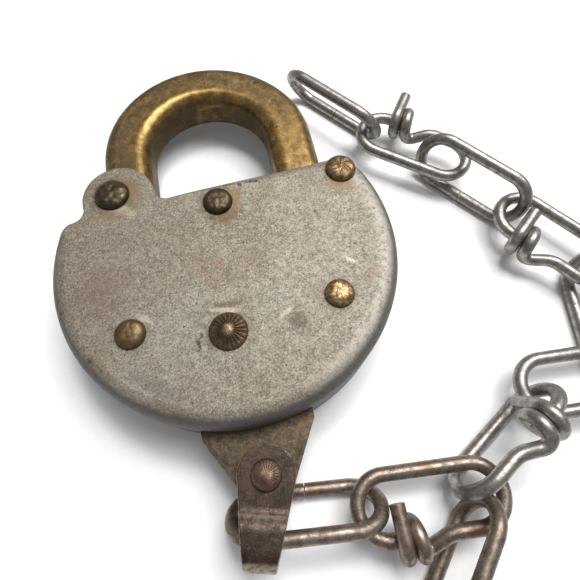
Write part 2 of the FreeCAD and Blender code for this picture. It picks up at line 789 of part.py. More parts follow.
def link_route(closed, side, bend):
    """The corners of a link's wire, long way along X, with the knot or butt on the leg towards -Y."""
    wire = size("wire_radius")
    end_x = size("link_length") / 2 - wire
    leg_y = size("link_width") / 2 - wire
    loop = [(-end_x, -leg_y, 0), (-end_x, leg_y, 0), (end_x, leg_y, 0), (end_x, -leg_y, 0)]
    if closed == "butt":
        gap = size("butt_gap") / 2
        route = [(-gap, -leg_y, 0)] + loop + [(gap, -leg_y, 0)]
    else:
        coil = 2 * wire + 0.05
        step = size("coil_pitch") / 4
        hook_x = -end_x + size("knot_from_end")
        turns = [(-1, 1), (1, 1), (1, -1), (-1, -1), (-1, 1)]
        wrap = [(hook_x + 5.5 * step, -leg_y - bend * coil, -0.85 * coil)]
        for number, (offset_y, offset_z) in enumerate(turns):
            x = hook_x + (4.5 - number) * step
            wrap.append((x, -leg_y + bend * offset_y * coil, offset_z * coil))
        lead = (hook_x + 13 * step, -leg_y, 0)
        stub = (hook_x, -leg_y + bend * size("stub_length"), coil)
        tail = (hook_x + 5.5 * step, -leg_y, 0)
        route = [tail] + loop + [lead] + wrap + [stub]
    flip_x = -1 if closed == "far" else 1
    return [FreeCAD.Vector(flip_x * x, side * y, z) for x, y, z in route]


def make_link(row):
    """One chain link: round wire along its route, laid at its place in the chain."""
    wire = size("wire_radius")
    corners = link_route(row["closed"], row["side"], row["bend"])
    leg_y = size("link_width") / 2 - wire
    spine = rounded_path(corners, leg_y)
    section = Part.Wire(Part.makeCircle(wire, corners[0], corners[1] - corners[0]))
    link = doc.addObject("Part::Feature", row["label"])
    link.Shape = spine.makePipeShell([section], True, False)
    share = link.Shape.Volume / (spine.Length * math.pi * wire**2)
    print(f"{row['label']}: wire {spine.Length:.1f} mm long, volume share {share:.4f}")
    floor = -size("inner_half") - size("sheet_thick") - size("foot_height")
    height = floor + wire + leg_y * math.sin(math.radians(abs(row["roll"]))) + row["lift"]
    if row["roll"] == 0:
        height = size("flat_link_z") + row["lift"]
    heading = FreeCAD.Rotation(FreeCAD.Vector(0, 0, 1), row["heading"])
    roll = FreeCAD.Rotation(FreeCAD.Vector(1, 0, 0), row["roll"])
    spot = FreeCAD.Vector(size("case_x") + row["x"], size("case_y") + row["y"], height)
    link.Placement = FreeCAD.Placement(spot, heading.multiply(roll))
    keep(link, row["label"])


def write_parts():
    """Check that every object and every sub-part is sound, then write each sub-part's file."""
    doc.recompute()
    for item in doc.Objects:
        if "Invalid" in item.State or "Error" in item.State:
            raise RuntimeError(f"{item.Name} failed: {item.State}")
    for part in sub_parts:
        if part.Shape.isNull() or not part.Shape.isValid() or not part.Shape.Solids:
            raise RuntimeError(f"{part.Label} has no valid solid")
    os.makedirs("parts", exist_ok=True)
    for part in sub_parts:
        part.Shape.exportStep(f"parts/{part.Label}.step")
        print(f"{part.Label}: {len(part.Shape.Solids)} solid, {part.Shape.Volume:.1f} mm3")


make_back_case()
make_front_plate()
make_rivet("shackle_rivet", "pivot_radius", "pivot_head", "pivot_x", "pivot_y")
for rivet_name, (rivet_x, rivet_y, rivet_width) in CASE_RIVETS.items():
    make_rivet(f"rivet_{rivet_name}", "shank_radius", rivet_width, rivet_x, rivet_y)
    if rivet_name != "top_right":
        make_spacer(f"spacer_{rivet_name}", rivet_x, rivet_y)
make_key_post()
make_shackle()
make_bolt()
make_bolt_spring()
for lever_number in range(1, LEVER_COUNT + 1):
    make_lever(lever_number)
make_key_cover()
make_hanger_plate()
make_clevis()
for link_row in LINKS:
    make_link(link_row)
write_parts()
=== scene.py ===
import json
import math

import bmesh
import bpy
from mathutils import Matrix, Vector, noise


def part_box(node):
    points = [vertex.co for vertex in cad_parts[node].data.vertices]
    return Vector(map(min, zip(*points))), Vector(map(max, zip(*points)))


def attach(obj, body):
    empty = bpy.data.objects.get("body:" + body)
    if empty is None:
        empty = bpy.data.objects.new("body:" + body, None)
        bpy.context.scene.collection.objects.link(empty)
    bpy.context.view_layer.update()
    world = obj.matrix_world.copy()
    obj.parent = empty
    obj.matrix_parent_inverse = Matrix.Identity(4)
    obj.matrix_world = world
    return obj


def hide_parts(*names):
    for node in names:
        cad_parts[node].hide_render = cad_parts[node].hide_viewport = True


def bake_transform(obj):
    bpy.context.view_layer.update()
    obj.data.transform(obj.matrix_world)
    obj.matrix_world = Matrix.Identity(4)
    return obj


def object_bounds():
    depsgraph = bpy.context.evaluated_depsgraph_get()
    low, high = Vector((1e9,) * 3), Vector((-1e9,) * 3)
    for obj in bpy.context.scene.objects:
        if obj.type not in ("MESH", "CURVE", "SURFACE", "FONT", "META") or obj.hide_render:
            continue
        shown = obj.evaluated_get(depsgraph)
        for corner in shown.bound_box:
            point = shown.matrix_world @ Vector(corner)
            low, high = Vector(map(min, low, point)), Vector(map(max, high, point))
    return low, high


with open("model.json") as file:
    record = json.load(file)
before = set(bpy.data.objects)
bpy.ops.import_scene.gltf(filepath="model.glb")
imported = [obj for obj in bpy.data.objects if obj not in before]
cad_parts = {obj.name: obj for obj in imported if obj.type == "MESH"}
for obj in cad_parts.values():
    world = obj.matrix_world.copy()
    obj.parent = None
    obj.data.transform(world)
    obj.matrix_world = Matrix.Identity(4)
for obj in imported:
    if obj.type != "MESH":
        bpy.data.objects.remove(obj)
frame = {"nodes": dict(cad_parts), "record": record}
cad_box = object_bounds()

MM = 0.001
nodes = frame["nodes"]
bodies = frame["record"]["behaviour"]["bodies"]
body_of = {member: body for body, members in bodies.items() for member in members}
slot_of = {row["node"]: row["material_slot"] for row in frame["record"]["subparts"]}


# ---------------------------------------------------------------- materials


class Graph:
    """A short way to write a material's nodes."""

    def __init__(self, name):
        self.material = bpy.data.materials.new(name)
        self.material.use_nodes = True
        self.tree = self.material.node_tree
        self.tree.nodes.clear()
        self.shader = self.tree.nodes.new("ShaderNodeBsdfPrincipled")
        output = self.tree.nodes.new("ShaderNodeOutputMaterial")
        self.tree.links.new(self.shader.outputs[0], output.inputs[0])
        coordinates = self.tree.nodes.new("ShaderNodeTexCoord")
        scale = self.tree.nodes.new("ShaderNodeVectorMath")
        scale.operation = "SCALE"
        scale.inputs["Scale"].default_value = 1 / MM
        self.tree.links.new(coordinates.outputs["Object"], scale.inputs[0])
        self.place = scale.outputs[0]

    def put(self, socket, value):
        if isinstance(value, bpy.types.NodeSocket):
            self.tree.links.new(value, socket)
        else:
            socket.default_value = value

    def math(self, operation, *values):
        node = self.tree.nodes.new("ShaderNodeMath")
        node.operation = operation
        for socket, value in zip(node.inputs, values):
            self.put(socket, value)
        return node.outputs[0]

    def noise(self, size, detail=5.0, roughness=0.6, distortion=0.0, stretch=None):
        """Noise whose blotches are about size millimetres across, from 0 to 1."""
        node = self.tree.nodes.new("ShaderNodeTexNoise")
        place = self.place
        if stretch is not None:
            stretched = self.tree.nodes.new("ShaderNodeVectorMath")
            stretched.operation = "MULTIPLY"
            self.put(stretched.inputs[0], place)
            stretched.inputs[1].default_value = stretch
            place = stretched.outputs[0]
        self.put(node.inputs["Vector"], place)
        node.inputs["Scale"].default_value = 1 / size
        node.inputs["Detail"].default_value = detail
        node.inputs["Roughness"].default_value = roughness
        node.inputs["Distortion"].default_value = distortion
        return node.outputs["Fac"]

    def cells(self, size):
        """Distance to the nearest of a scatter of points size millimetres apart."""
        node = self.tree.nodes.new("ShaderNodeTexVoronoi")
        self.put(node.inputs["Vector"], self.place)
        node.inputs["Scale"].default_value = 1 / size
        return node.outputs["Distance"]

    def ramp(self, value, low, high, from_value=0.0, to_value=1.0):
        """Smoothly from one value to another as value goes from low to high."""
        node = self.tree.nodes.new("ShaderNodeMapRange")
        node.interpolation_type = "SMOOTHSTEP"
        self.put(node.inputs["Value"], value)
        node.inputs["From Min"].default_value = low
        node.inputs["From Max"].default_value = high
        node.inputs["To Min"].default_value = from_value
        node.inputs["To Max"].default_value = to_value
        return node.outputs[0]

    def mix(self, factor, first, second, blend="MIX"):
        node = self.tree.nodes.new("ShaderNodeMix")
        node.data_type = "RGBA"
        node.blend_type = blend
        self.put(node.inputs[0], factor)
        for socket, value in ((node.inputs[6], first), (node.inputs[7], second)):
            self.put(socket, value if isinstance(value, bpy.types.NodeSocket) else (*value, 1.0))
        return node.outputs[2]

    def distance(self, point):
        """Distance in millimetres from a point, measured in the face's plane."""
        flatten = self.tree.nodes.new("ShaderNodeVectorMath")
        flatten.operation = "MULTIPLY"
        self.put(flatten.inputs[0], self.place)
        flatten.inputs[1].default_value = (1, 1, 0)
        node = self.tree.nodes.new("ShaderNodeVectorMath")
        node.operation = "DISTANCE"
        self.put(node.inputs[0], flatten.outputs[0])
        node.inputs[1].default_value = (point[0], point[1], 0)
        return node.outputs["Value"]

    def oval(self, point, half_x, half_y, lean):
        """Distance from a point in the face's plane in units of an oval's two radii, 1 on its edge."""
        turn = self.tree.nodes.new("ShaderNodeMapping")
        turn.vector_type = "TEXTURE"
        self.put(turn.inputs["Vector"], self.place)
        turn.inputs["Location"].default_value = (point[0], point[1], 0)
        turn.inputs["Rotation"].default_value = (0, 0, math.radians(lean))
        turn.inputs["Scale"].default_value = (half_x, half_y, 1)
        flatten = self.tree.nodes.new("ShaderNodeVectorMath")
        flatten.operation = "MULTIPLY"
        self.put(flatten.inputs[0], turn.outputs[0])
        flatten.inputs[1].default_value = (1, 1, 0)
        length = self.tree.nodes.new("ShaderNodeVectorMath")
        length.operation = "LENGTH"
        self.put(length.inputs[0], flatten.outputs[0])
        return length.outputs["Value"]

    def edges(self):
        """1 on the rounded edges between a flat sheet's faces and its sides, 0 elsewhere."""
        normal = self.tree.nodes.new("ShaderNodeSeparateXYZ")
        geometry = self.tree.nodes.new("ShaderNodeNewGeometry")
        self.put(normal.inputs[0], geometry.outputs["Normal"])
        upright = self.math("ABSOLUTE", normal.outputs[2])
        return self.math("MULTIPLY", self.ramp(upright, 0.2, 0.4), self.ramp(upright, 0.90, 0.78))

    def along(self, axis):
        node = self.tree.nodes.new("ShaderNodeSeparateXYZ")
        self.put(node.inputs[0], self.place)
        return node.outputs[axis]

    def bump(self, height, strength, depth_mm):
        node = self.tree.nodes.new("ShaderNodeBump")
        node.inputs["Strength"].default_value = strength
        node.inputs["Distance"].default_value = depth_mm * MM
        self.put(node.inputs["Height"], height)
        self.tree.links.new(node.outputs[0], self.shader.inputs["Normal"])

    def finish(self, color, roughness, metallic):
        self.put(self.shader.inputs["Base Color"], color)
        self.put(self.shader.inputs["Roughness"], roughness)
        self.put(self.shader.inputs["Metallic"], metallic)
        return self.material


# The case's colours, from bare metal to grime, with painted shade for the case's sides and under the rivet
# heads and a painted lit strip on the rim.
PLATE_DARK, PLATE_LIGHT = (0.182, 0.157, 0.118), (0.268, 0.240, 0.188)
PATINA_AND_SHADE, RUBBED = (0.160, 0.122, 0.085), (0.30, 0.28, 0.235)
GRAIN_LIGHT, GRAIN_DARK = (0.36, 0.325, 0.26), (0.13, 0.105, 0.07)
SPECK_LIGHT, SPECK_DARK = (0.40, 0.37, 0.305), (0.075, 0.06, 0.043)
RUST, SHADE_UNDER_HEADS = (0.19, 0.105, 0.055), (0.035, 0.026, 0.018)
LIT_BAND, RIM, WALL_SHADE = (0.38, 0.35, 0.30), (0.085, 0.078, 0.078), (0.10, 0.088, 0.078)
PITS, DENTS = (0.06, 0.045, 0.032), (0.05, 0.038, 0.028)


def case_steel(rivets, marks):
    """Dull plated steel: fine speckle, brown patina in clouds spread wider to the left as painted shade,
    stain round the rivets, a worn rim with a painted highlight on its right, and painted shade on the case's
    sides and under the rivet heads.
    """
    g = Graph("case_steel")
    clouds = g.noise(17.0, 6, 0.6)
    mottle = g.noise(3.2, 6, 0.72)
    grit = g.noise(0.85, 5, 0.8)
    speck = g.noise(0.30, 3, 0.75)
    color = g.mix(g.ramp(mottle, 0.32, 0.70), PLATE_DARK, PLATE_LIGHT)
    # Painted shade mixed with real patina: the patina clouds spread wider towards the left, away from the
    # light.
    left = g.ramp(g.along("X"), case_centre[0] + 18, case_centre[0] - 26, 0.0, 0.16)
    color = g.mix(g.ramp(g.math("ADD", clouds, left), 0.50, 0.68, 0.0, 0.62), color, PATINA_AND_SHADE)
    color = g.mix(g.ramp(clouds, 0.46, 0.30, 0.0, 0.30), color, RUBBED)
    color = g.mix(g.ramp(grit, 0.44, 0.66, 0.0, 0.45), color, GRAIN_LIGHT)
    color = g.mix(g.ramp(grit, 0.50, 0.30, 0.0, 0.55), color, GRAIN_DARK)
    color = g.mix(g.ramp(speck, 0.51, 0.66, 0.0, 0.65), color, SPECK_LIGHT)
    color = g.mix(g.ramp(speck, 0.48, 0.34, 0.0, 0.80), color, SPECK_DARK)
    rust = g.ramp(g.math("MULTIPLY", g.noise(8.0, 6, 0.7), grit), 0.29, 0.40, 0.0, 0.60)
    color = g.mix(rust, color, RUST)
    for point, reach, strength, tint in rivets:
        ragged = g.math("MULTIPLY", g.math("SUBTRACT", g.noise(1.5, 6, 0.8), 0.5), reach * 2.2)
        ragged = g.math("ADD", g.distance(point), ragged)
        color = g.mix(g.ramp(ragged, reach * 1.05, reach * 0.4, 0.0, strength), color, tint)
    for point, half_x, half_y, lean, strength, tint in marks:
        away = g.oval(point, half_x, half_y, lean)
        away = g.math("ADD", away, g.math("MULTIPLY", g.math("SUBTRACT", g.noise(0.8, 6, 0.85), 0.5), 4.2))
        color = g.mix(g.ramp(away, 1.1, 0.4, 0.0, strength), color, tint)
    # Painted shade: a dark ring on the face round the foot of each rivet head.
    for point, reach, _, _ in rivets:
        head_shade = g.ramp(g.distance(point), reach * 0.66, reach * 0.52, 0.0, 0.8)
        color = g.mix(head_shade, color, SHADE_UNDER_HEADS)
    centre = Vector(case_centre)
    radius = g.math("ADD", g.distance(centre), g.math("MULTIPLY", g.math("SUBTRACT", mottle, 0.5), 1.2))
    # Wear and a painted highlight: a lighter strip along the rim, on the right only, where the light falls.
    right = g.ramp(g.along("X"), centre.x + 2, centre.x + 22)
    worn_and_lit_band = g.math("MULTIPLY", g.ramp(radius, CASE_RADIUS - 5.2, CASE_RADIUS - 2.6), right)
    worn_and_lit_band = g.math("MULTIPLY", worn_and_lit_band, g.ramp(grit, 0.36, 0.56, 0.25, 0.85))
    color = g.mix(worn_and_lit_band, color, LIT_BAND)
    outer = g.ramp(radius, CASE_RADIUS - 1.9, CASE_RADIUS - 0.9, 0.0, 0.85)
    color = g.mix(outer, color, RIM)
    # Painted shade: surfaces set back from the face's height, the case's sides and the front plate, are
    # darkened.
    edge = g.math("ABSOLUTE", g.math("SUBTRACT", g.along("Z"), FACE_Z))
    side = g.ramp(edge, 0.9, 3.0, 0.0, 0.55)
    color = g.mix(side, color, WALL_SHADE)
    pits = g.math("MULTIPLY", g.ramp(g.cells(1.5), 0.17, 0.06), g.ramp(mottle, 0.46, 0.60))
    color = g.mix(g.math("MULTIPLY", pits, 0.8), color, PITS)
    dents = g.math("MULTIPLY", g.ramp(g.cells(5.5), 0.12, 0.03), g.ramp(clouds, 0.4, 0.55))
    color = g.mix(g.math("MULTIPLY", dents, 0.8), color, DENTS)
    height = g.math("ADD", g.math("MULTIPLY", speck, 0.9), g.math("MULTIPLY", grit, 0.9))
    height = g.math("SUBTRACT", height, g.math("ADD", pits, dents))
    g.bump(height, 0.55, 0.10)
    return g.finish(color, g.ramp(grit, 0.3, 0.7, 0.62, 0.48), 0.40)


def brass(name, bow=None):
    """Aged brass: mottled brown skin with golden metal where it is rubbed.

    bow is the bend's centre and inner radius in millimetres, for the shackle's rubbed places, a painted
    highlight along its inner edge and painted light on its right leg, and painted shade low on the bar.
    """
    g = Graph(name)
    clouds = g.noise(6.5, 6, 0.65, 0.6)
    mottle = g.noise(2.2, 7, 0.7, 0.5)
    speck = g.noise(0.35, 3, 0.7)
    patina = g.mix(g.ramp(mottle, 0.40, 0.62), (0.088, 0.057, 0.022), (0.175, 0.115, 0.044))
    patina = g.mix(g.ramp(g.noise(4.5, 6, 0.7, 0.8), 0.50, 0.60, 0.0, 0.8), patina, (0.110, 0.080, 0.044))
    gold = g.mix(g.ramp(mottle, 0.38, 0.66), (0.145, 0.088, 0.028), (0.32, 0.205, 0.066))
    worn = g.ramp(g.math("ADD", clouds, g.math("MULTIPLY", mottle, 0.4)), 0.68, 0.86)
    if bow is not None:
        centre, inner = bow
        bend = g.distance(centre)
        low = g.ramp(g.along("Y"), centre[1] + 4, centre[1] - 4)
        leg = g.math("ABSOLUTE", g.math("SUBTRACT", g.along("X"), centre[0]))
        curved = g.math("MULTIPLY", bend, g.math("SUBTRACT", 1.0, low))
        reach = g.math("ADD", g.math("MULTIPLY", leg, low), curved)
        ragged = g.math("ADD", reach, g.math("MULTIPLY", g.math("SUBTRACT", clouds, 0.5), 3.0))
        # Rubbed brass and a painted highlight: golden metal along the bar's inner edge, where the rounded
        # edge catches the light.
        rising = g.ramp(ragged, inner - 0.2, inner + 0.9)
        falling = g.ramp(ragged, inner + 4.2, inner + 2.0)
        ridge_highlight = g.math("MULTIPLY", rising, falling)
        # Painted light mixed with rubbed brass: golden streaks on the right leg, the side the light comes
        # from.
        right = g.ramp(g.along("X"), centre[0] + 7, centre[0] + 15)
        right = g.math("MULTIPLY", right, g.ramp(g.along("Y"), centre[1] + 12, centre[1] + 2))
        right = g.math("MULTIPLY", right, g.ramp(g.noise(3.2, 5, 0.7, 0.5, (1.0, 0.35, 1.0)), 0.34, 0.52))
        front = g.ramp(g.along("Z"), 1.0, 3.2)
        rubbed = g.math("MULTIPLY", g.math("MAXIMUM", ridge_highlight, right), front)
        worn = g.math("MAXIMUM", g.math("MULTIPLY", worn, 0.35), rubbed)
        # Painted shade: the bar darkens towards its back and inner faces, below the height of its front,
        # blended into the patina colour.
        low_shade = g.ramp(g.along("Z"), 3.6, 1.0, 0.0, 0.75)
        patina = g.mix(low_shade, patina, (0.045, 0.030, 0.011))
    color = g.mix(worn, patina, gold)
    color = g.mix(g.ramp(speck, 0.54, 0.75, 0.0, 0.4), color, (0.30, 0.20, 0.075))
    streak = g.noise(2.2, 6, 0.75, 1.0)
    color = g.mix(g.ramp(streak, 0.57, 0.66, 0.0, 0.85), color, (0.045, 0.029, 0.013))
    height = g.math("ADD", g.math("MULTIPLY", mottle, 0.9), g.math("MULTIPLY", speck, 0.4))
    g.bump(height, 0.35, 0.12)
    return g.finish(color, g.ramp(worn, 0.0, 1.0, 0.52, 0.33), 0.8)


def bronze(name, skin, metal, shine=0.5):
    """A rivet's bronze: brown skin with the metal showing on the high places."""
    g = Graph(name)
    mottle = g.noise(0.9, 6, 0.7, 0.4)
    speck = g.noise(0.28, 3, 0.7)
    color = g.mix(g.ramp(mottle, 0.42, 0.66, 0.0, shine * 1.6), skin, metal)
    color = g.mix(g.ramp(speck, 0.58, 0.78, 0.0, 0.5), color, tuple(min(1.0, c * 1.5) for c in metal))
    color = g.mix(g.ramp(mottle, 0.42, 0.28, 0.0, 0.8), color, tuple(c * 0.35 for c in skin))
    g.bump(g.math("ADD", mottle, g.math("MULTIPLY", speck, 0.4)), 0.4, 0.10)
    return g.finish(color, g.ramp(mottle, 0.3, 0.7, 0.50, 0.34), 0.8)


def steel(name, base, dark, rust, rust_share, light, rough=(0.52, 0.34), metallic=0.8, grain=2.0,
          sheet=False):
    """Bare drawn or rolled steel with rust in its hollows."""
    g = Graph(name)
    clouds = g.noise(5.0 * grain, 6, 0.65, 0.5)
    mottle = g.noise(0.8 * grain, 6, 0.72)
    speck = g.noise(0.3, 3, 0.7)
    color = g.mix(g.ramp(mottle, 0.36, 0.64), dark, base)
    color = g.mix(g.ramp(speck, 0.55, 0.78, 0.0, 0.55), color, light)
    patches = g.math("ADD", clouds, g.math("MULTIPLY", mottle, 0.35))
    stain = g.ramp(patches, 0.90 - 0.45 * rust_share, 1.0 - 0.4 * rust_share)
    color = g.mix(g.math("MULTIPLY", stain, 0.85), color, rust)
    color = g.mix(g.ramp(mottle, 0.38, 0.26, 0.0, 0.7), color, tuple(c * 0.4 for c in dark))
    if sheet:
        worn = g.math("MULTIPLY", g.edges(), g.ramp(mottle, 0.34, 0.56, 0.2, 0.9))
        color = g.mix(worn, color, tuple(c * 1.25 for c in light))
        grime = g.ramp(g.noise(3.0 * grain, 6, 0.7, 0.8), 0.46, 0.66, 0.0, 0.7)
        color = g.mix(grime, color, tuple(c * 0.55 for c in dark))
    g.bump(g.math("ADD", mottle, g.math("MULTIPLY", speck, 0.5)), 0.5 if sheet else 0.25, 0.08)
    return g.finish(color, g.ramp(mottle, 0.3, 0.7, rough[0], rough[1]), metallic)


def floor_paper():
    g = Graph("floor_paper")
    fibre = g.noise(1.5, 4, 0.6)
    color = g.mix(g.ramp(fibre, 0.3, 0.7), (0.93, 0.93, 0.93), (0.96, 0.96, 0.96))
    g.bump(fibre, 0.05, 0.05)
    return g.finish(color, 0.9, 0.0)


# ---------------------------------------------------------------- places read from the frame


def middle(node):
    low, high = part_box(node)
    return (low + high) / 2 / MM


CASE_RADIUS = (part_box("front_plate")[1].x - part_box("front_plate")[0].x) / 2 / MM
case_centre = (middle("front_plate").x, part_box("front_plate")[0].y / MM + CASE_RADIUS, 0)
bow_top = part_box("shackle")[1].y / MM
bow_half = (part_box("shackle")[1].x - middle("back_case").x * MM) / MM
FACE_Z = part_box("back_case")[1].z / MM
PLATE_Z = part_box("front_plate")[0].z / MM
SHEET_THICK = 1.6


# ---------------------------------------------------------------- shapes


def new_piece(name, mesh, body, material, replaced):
    piece = bpy.data.objects.new(name, mesh)
    bpy.context.scene.collection.objects.link(piece)
    mesh.materials.clear()
    mesh.materials.append(material)
    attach(piece, body)
    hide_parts(*replaced)
    return piece


def head_profile(radius, height, base, up, rings=14, fullness=2.5):
    """A button head's outline from its crown to its rim, as (radius, height) pairs."""
    sign = 1 if up else -1
    points = []
    for ring in range(rings + 1):
        share = math.sin(ring / rings * math.pi / 2)
        points.append((radius * share, base + sign * height * (1 - share**fullness) ** (1 / 2.2)))
    return points


def fluted(count, depth):
    def ripple(share, angle):
        window = max(0.0, min(1.0, (share - 0.22) / 0.3)) * max(0.0, min(1.0, (1.02 - share) / 0.25))
        return -depth * (0.5 - 0.5 * math.cos(count * angle)) ** 0.7 * window
    return ripple


def swirled(count, depth):
    def ripple(share, angle):
        window = min(1.0, share / 0.2) * max(0.0, min(1.0, (1.0 - share) / 0.3))
        return -depth * (0.5 + 0.5 * math.sin(count * angle + 7.0 * share)) * window
    return ripple


def hammered(seed, depth, size):
    def ripple(share, angle):
        window = max(0.0, min(1.0, (1.02 - share) / 0.2))
        spot = Vector((share * math.cos(angle) * size, share * math.sin(angle) * size, seed))
        return depth * (noise.noise(spot * 2.0) - 0.6) * window
    return ripple


def turned(name, centre, profile, top_rings, ripple, sectors=120):
    """A turned piece: a profile from its top centre to its bottom centre, its first rings rippled."""
    shape = bmesh.new()
    rows = []
    crown = max(radius for radius, _ in profile[:top_rings])
    for number, (radius, height) in enumerate(profile):
        if radius < 1e-6:
            rows.append([shape.verts.new((centre[0] * MM, centre[1] * MM, height * MM))])
            continue
        row = []
        for sector in range(sectors):
            angle = 2 * math.pi * sector / sectors
            lift = ripple(radius / crown, angle) if number < top_rings else 0.0
            x, y = centre[0] + radius * math.cos(angle), centre[1] + radius * math.sin(angle)
            row.append(shape.verts.new((x * MM, y * MM, (height + lift) * MM)))
        rows.append(row)
    for first, second in zip(rows, rows[1:]):
        for sector in range(sectors):
            after = (sector + 1) % sectors
            if len(first) == 1:
                shape.faces.new((first[0], second[sector], second[after]))
            elif len(second) == 1:
                shape.faces.new((first[sector], second[0], first[after]))
            else:
                shape.faces.new((first[sector], second[sector], second[after], first[after]))
    bmesh.ops.recalc_face_normals(shape, faces=shape.faces)
    mesh = bpy.data.meshes.new(name)
    shape.to_mesh(mesh)
    shape.free()
    mesh.shade_smooth()
    mesh.set_sharp_from_angle(angle=math.radians(50))
    return mesh


def case_rivet(node, ripple, material, shank, fullness):
    """A through rivet with a worked head on the back face and a plain foot under the front plate."""
    low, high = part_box(node)
    centre = middle(node)
    radius = (high.x - low.x) / 2 / MM
    foot_radius = radius - 0.15
    upper = head_profile(radius, high.z / MM - FACE_Z, FACE_Z, True, fullness=fullness)
    lower = head_profile(foot_radius, PLATE_Z - low.z / MM, PLATE_Z, False)
    profile = upper + [(shank, FACE_Z), (shank, PLATE_Z)] + lower[::-1]
    mesh = turned(f"{node}_worked", centre, profile, len(upper), ripple)
    return new_piece(f"{node}_worked", mesh, body_of[node], material, [node])


SHARP_EDGE = math.radians(38)
NEARLY_FLAT = math.radians(0.6)
WELD_MM = 0.002


def softened(node, material, width):
    """A copy of a CAD node with its sharp edges worn round."""
    shape = bmesh.new()
    shape.from_mesh(nodes[node].data)
    bmesh.ops.remove_doubles(shape, verts=shape.verts, dist=WELD_MM * MM)
    bmesh.ops.dissolve_limit(shape, angle_limit=NEARLY_FLAT, verts=shape.verts, edges=shape.edges)
    mesh = bpy.data.meshes.new(f"{node}_worn")
    shape.to_mesh(mesh)
    shape.free()
    piece = new_piece(f"{node}_worn", mesh, body_of[node], material, [node])
    bevel = piece.modifiers.new("worn_edges", "BEVEL")
    bevel.width = width * MM
    bevel.segments = 3
    bevel.limit_method = "ANGLE"
    bevel.angle_limit = SHARP_EDGE
    bevel.use_clamp_overlap = True
    mesh.shade_smooth()
    smooth = piece.modifiers.new("weighted", "WEIGHTED_NORMAL")
    smooth.keep_sharp = True
    return piece


# ---------------------------------------------------------------- finishes for every node

BROWN = (0.125, 0.080, 0.040)
DARK_BROWN = (0.085, 0.062, 0.040)
SOOT = (0.040, 0.034, 0.028)
OCHRE = (0.21, 0.135, 0.060)
PALE = (0.52, 0.46, 0.36)
pivot = middle("shackle_rivet")
top_middle = middle("rivet_top_middle")
top_right = middle("rivet_top_right")
lower_left = middle("rivet_lower_left")
lower_right = middle("rivet_lower_right")
key = middle("key_post")
stains = [
    (pivot, 5.6, 0.75, BROWN),
    (top_middle, 4.6, 0.85, BROWN),
    (top_right, 4.3, 0.65, BROWN),
    (lower_left, 3.7, 0.45, DARK_BROWN),
    (lower_right, 3.9, 0.45, DARK_BROWN),
    (key, 5.1, 0.55, DARK_BROWN),
]
# Marks on the face: where, half length, half width, lean in degrees, strength and colour.
marks = [
    (pivot + Vector((3.4, 0.6, 0)), 1.7, 4.4, 20, 0.65, OCHRE),
    (pivot + Vector((1.8, -3.8, 0)), 3.2, 1.2, -25, 0.60, PALE),
    (pivot + Vector((0.5, -4.3, 0)), 4.2, 1.0, 8, 0.60, OCHRE),
    (top_middle + Vector((1.2, -3.2, 0)), 4.0, 2.0, 25, 0.80, BROWN),
    (top_middle + Vector((3.2, 0.4, 0)), 1.5, 3.6, -15, 0.70, OCHRE),
    (top_right + Vector((-0.8, -3.6, 0)), 3.6, 1.9, -12, 0.75, OCHRE),
    (top_middle + Vector((7.0, 3.4, 0)), 1.5, 0.45, -8, 0.95, SOOT),
    (top_middle + Vector((4.6, 3.0, 0)), 0.7, 0.5, 30, 0.90, SOOT),
    (key + Vector((-5.2, -1.2, 0)), 0.45, 1.6, 6, 0.95, SOOT),
    (key + Vector((-4.5, 0.3, 0)), 0.35, 0.8, -10, 0.90, SOOT),
    (key + Vector((-0.6, 4.6, 0)), 4.4, 0.8, 6, 0.65, DARK_BROWN),
    (key + Vector((-0.2, 3.9, 0)), 3.2, 0.5, -14, 0.60, PALE),
    (key + Vector((11.8, -0.4, 0)), 3.0, 2.2, -40, 0.70, DARK_BROWN),
    (key + Vector((10.2, 1.4, 0)), 1.6, 0.6, 30, 0.60, PALE),
    (lower_left + Vector((2.6, 2.2, 0)), 1.8, 0.7, -40, 0.55, PALE),
    (lower_right + Vector((3.5, 6.0, 0)), 1.5, 0.5, -35, 0.75, PALE),
    (lower_left + Vector((-4.0, 9.0, 0)), 7.5, 5.5, 40, 0.45, (0.16, 0.105, 0.075)),
    (lower_left + Vector((3.5, -9.5, 0)), 6.0, 1.6, -35, 0.55, (0.13, 0.115, 0.105)),
]
CASE = case_steel(stains, marks)
BAR_WIDTH = 9.5
bow_centre = (case_centre[0], bow_top - bow_half, 0)
